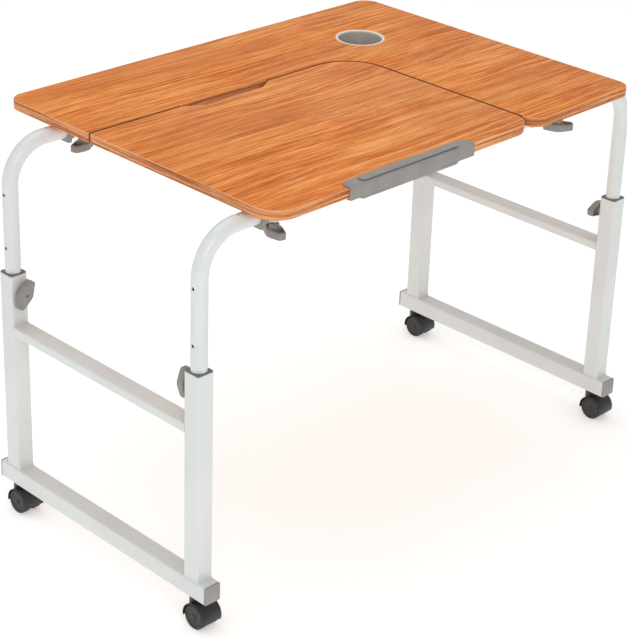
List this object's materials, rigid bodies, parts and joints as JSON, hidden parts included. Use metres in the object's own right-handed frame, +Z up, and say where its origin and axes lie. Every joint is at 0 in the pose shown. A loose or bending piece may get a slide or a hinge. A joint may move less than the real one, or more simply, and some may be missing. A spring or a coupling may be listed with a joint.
{
  "type": "overbed table",
  "caption": "Wheeled overbed table: board with a tilting reading panel, book stopper and cup holder on telescoping bent-tube legs with casters.",
  "frame": {"origin": "centre of the footprint, on the floor under the casters", "axes": "+X along the board's long side to the user's right, +Y away from the user, +Z up"},
  "size_m": [0.9892, 0.6036, 0.6675],
  "materials": {
    "wood_laminate": "satin printed laminate",
    "white_powder_coat": "satin powder coat",
    "grey_plastic": "fine texture",
    "dark_grey_plastic": "fine texture",
    "cup_plastic": "satin",
    "black_plastic": "satin",
    "black_tread": "matte",
    "zinc_steel": "zinc plated"
  },
  "bodies": {
    "tabletop": {"fixed_panel": "wood_laminate", "cup_holder": "cup_plastic", "front_sleeve": "white_powder_coat", "rear_sleeve": "white_powder_coat", "crossbar_left": "white_powder_coat", "rest_tab_left": "zinc_steel", "crossbar_right": "white_powder_coat", "rest_tab_right": "zinc_steel", "saddle_front_right": "zinc_steel", "saddle_rear_left": "zinc_steel", "saddle_rear_right": "zinc_steel", "sleeve_collar_left_front": "grey_plastic", "sleeve_collar_left_rear": "grey_plastic", "sleeve_collar_right_front": "grey_plastic", "sleeve_collar_right_rear": "grey_plastic"},
    "tilting_panel": {"tilt_panel": "wood_laminate", "hinge_clip_left": "zinc_steel", "hinge_clip_right": "zinc_steel", "stopper_clip": "grey_plastic"},
    "page_ledge": {"stopper_ledge": "grey_plastic"},
    "left_tubes": {"bent_tube_left_front": "white_powder_coat", "bent_tube_left_rear": "white_powder_coat"},
    "left_leg_frame": {"post_left_front": "white_powder_coat", "post_collar_left_front": "dark_grey_plastic", "end_cap_left_front": "grey_plastic", "post_left_rear": "white_powder_coat", "post_collar_left_rear": "dark_grey_plastic", "end_cap_left_rear": "grey_plastic", "bottom_rail_left": "white_powder_coat", "mid_rail_left": "white_powder_coat"},
    "post_knob_left_front": {"post_knob_left_front": "grey_plastic"},
    "table_knob_left_front": {"table_knob_left_front": "grey_plastic"},
    "caster_left_front": {"caster_hood_left_front": "black_plastic"},
    "wheel_left_front_outer": {"caster_wheel_left_front_outer": "black_tread"},
    "wheel_left_front_inner": {"caster_wheel_left_front_inner": "black_tread"},
    "post_knob_left_rear": {"post_knob_left_rear": "grey_plastic"},
    "table_knob_left_rear": {"table_knob_left_rear": "grey_plastic"},
    "caster_left_rear": {"caster_hood_left_rear": "black_plastic"},
    "wheel_left_rear_outer": {"caster_wheel_left_rear_outer": "black_tread"},
    "wheel_left_rear_inner": {"caster_wheel_left_rear_inner": "black_tread"},
    "right_tubes": {"bent_tube_right_front": "white_powder_coat", "bent_tube_right_rear": "white_powder_coat"},
    "right_leg_frame": {"post_right_front": "white_powder_coat", "post_collar_right_front": "dark_grey_plastic", "end_cap_right_front": "grey_plastic", "post_right_rear": "white_powder_coat", "post_collar_right_rear": "dark_grey_plastic", "end_cap_right_rear": "grey_plastic", "bottom_rail_right": "white_powder_coat", "mid_rail_right": "white_powder_coat"},
    "post_knob_right_front": {"post_knob_right_front": "grey_plastic"},
    "table_knob_right_front": {"table_knob_right_front": "grey_plastic"},
    "caster_right_front": {"caster_hood_right_front": "black_plastic"},
    "wheel_right_front_outer": {"caster_wheel_right_front_outer": "black_tread"},
    "wheel_right_front_inner": {"caster_wheel_right_front_inner": "black_tread"},
    "post_knob_right_rear": {"post_knob_right_rear": "grey_plastic"},
    "table_knob_right_rear": {"table_knob_right_rear": "grey_plastic"},
    "caster_right_rear": {"caster_hood_right_rear": "black_plastic"},
    "wheel_right_rear_outer": {"caster_wheel_right_rear_outer": "black_tread"},
    "wheel_right_rear_inner": {"caster_wheel_right_rear_inner": "black_tread"}
  },
  "joints": [
    {"name": "desk_tilt", "type": "hinge", "parent": "tabletop", "child": "tilting_panel", "pos_m": [0, -0.22925, 0.63], "axis": [1, 0, 0], "range_deg": [0, 45]},
    {"name": "ledge_flip", "type": "hinge", "parent": "tilting_panel", "child": "page_ledge", "pos_m": [-0.124, -0.29525, 0.666], "axis": [1, 0, 0], "range_deg": [0, 90]},
    {"name": "left_extension", "type": "slide", "parent": "tabletop", "child": "left_tubes", "axis": [-1, 0, 0], "range_m": [0, 0.18]},
    {"name": "left_height", "type": "slide", "parent": "left_tubes", "child": "left_leg_frame", "axis": [0, 0, -1], "range_m": [-0.12, 0.15]},
    {"name": "post_knob_turn_left_front", "type": "hinge", "parent": "left_leg_frame", "child": "post_knob_left_front", "pos_m": [-0.473, -0.21425, 0.394], "axis": [0, 1, 0], "continuous": true},
    {"name": "table_knob_turn_left_front", "type": "hinge", "parent": "tabletop", "child": "table_knob_left_front", "pos_m": [-0.333, -0.22925, 0.6095], "axis": [0, 0, -1], "continuous": true},
    {"name": "caster_swivel_left_front", "type": "hinge", "parent": "left_leg_frame", "child": "caster_left_front", "pos_m": [-0.473, -0.22925, 0.05], "axis": [0, 0, 1], "continuous": true},
    {"name": "wheel_spin_left_front_outer", "type": "hinge", "parent": "caster_left_front", "child": "wheel_left_front_outer", "pos_m": [-0.484, -0.23925, 0.02], "axis": [1, 0, 0], "continuous": true},
    {"name": "wheel_spin_left_front_inner", "type": "hinge", "parent": "caster_left_front", "child": "wheel_left_front_inner", "pos_m": [-0.462, -0.23925, 0.02], "axis": [1, 0, 0], "continuous": true},
    {"name": "post_knob_turn_left_rear", "type": "hinge", "parent": "left_leg_frame", "child": "post_knob_left_rear", "pos_m": [-0.473, 0.18475, 0.394], "axis": [0, -1, 0], "continuous": true},
    {"name": "table_knob_turn_left_rear", "type": "hinge", "parent": "tabletop", "child": "table_knob_left_rear", "pos_m": [-0.333, 0.19975, 0.6095], "axis": [0, 0, -1], "continuous": true},
    {"name": "caster_swivel_left_rear", "type": "hinge", "parent": "left_leg_frame", "child": "caster_left_rear", "pos_m": [-0.473, 0.19975, 0.05], "axis": [0, 0, 1], "continuous": true},
    {"name": "wheel_spin_left_rear_outer", "type": "hinge", "parent": "caster_left_rear", "child": "wheel_left_rear_outer", "pos_m": [-0.484, 0.18975, 0.02], "axis": [1, 0, 0], "continuous": true},
    {"name": "wheel_spin_left_rear_inner", "type": "hinge", "parent": "caster_left_rear", "child": "wheel_left_rear_inner", "pos_m": [-0.462, 0.18975, 0.02], "axis": [1, 0, 0], "continuous": true},
    {"name": "right_extension", "type": "slide", "parent": "tabletop", "child": "right_tubes", "axis": [1, 0, 0], "range_m": [0, 0.18]},
    {"name": "right_height", "type": "slide", "parent": "right_tubes", "child": "right_leg_frame", "axis": [0, 0, -1], "range_m": [-0.12, 0.15]},
    {"name": "post_knob_turn_right_front", "type": "hinge", "parent": "right_leg_frame", "child": "post_knob_right_front", "pos_m": [0.473, -0.21425, 0.394], "axis": [0, 1, 0], "continuous": true},
    {"name": "table_knob_turn_right_front", "type": "hinge", "parent": "tabletop", "child": "table_knob_right_front", "pos_m": [0.301, -0.22925, 0.6095], "axis": [0, 0, -1], "continuous": true},
    {"name": "caster_swivel_right_front", "type": "hinge", "parent": "right_leg_frame", "child": "caster_right_front", "pos_m": [0.473, -0.22925, 0.05], "axis": [0, 0, 1], "continuous": true},
    {"name": "wheel_spin_right_front_outer", "type": "hinge", "parent": "caster_right_front", "child": "wheel_right_front_outer", "pos_m": [0.484, -0.23925, 0.02], "axis": [1, 0, 0], "continuous": true},
    {"name": "wheel_spin_right_front_inner", "type": "hinge", "parent": "caster_right_front", "child": "wheel_right_front_inner", "pos_m": [0.462, -0.23925, 0.02], "axis": [1, 0, 0], "continuous": true},
    {"name": "post_knob_turn_right_rear", "type": "hinge", "parent": "right_leg_frame", "child": "post_knob_right_rear", "pos_m": [0.473, 0.18475, 0.394], "axis": [0, -1, 0], "continuous": true},
    {"name": "table_knob_turn_right_rear", "type": "hinge", "parent": "tabletop", "child": "table_knob_right_rear", "pos_m": [0.301, 0.19975, 0.6095], "axis": [0, 0, -1], "continuous": true},
    {"name": "caster_swivel_right_rear", "type": "hinge", "parent": "right_leg_frame", "child": "caster_right_rear", "pos_m": [0.473, 0.19975, 0.05], "axis": [0, 0, 1], "continuous": true},
    {"name": "wheel_spin_right_rear_outer", "type": "hinge", "parent": "caster_right_rear", "child": "wheel_right_rear_outer", "pos_m": [0.484, 0.18975, 0.02], "axis": [1, 0, 0], "continuous": true},
    {"name": "wheel_spin_right_rear_inner", "type": "hinge", "parent": "caster_right_rear", "child": "wheel_right_rear_inner", "pos_m": [0.462, 0.18975, 0.02], "axis": [1, 0, 0], "continuous": true}
  ],
  "couplings": [
    {"joint": "right_height", "follows": "left_height", "ratio": 1}
  ]
}
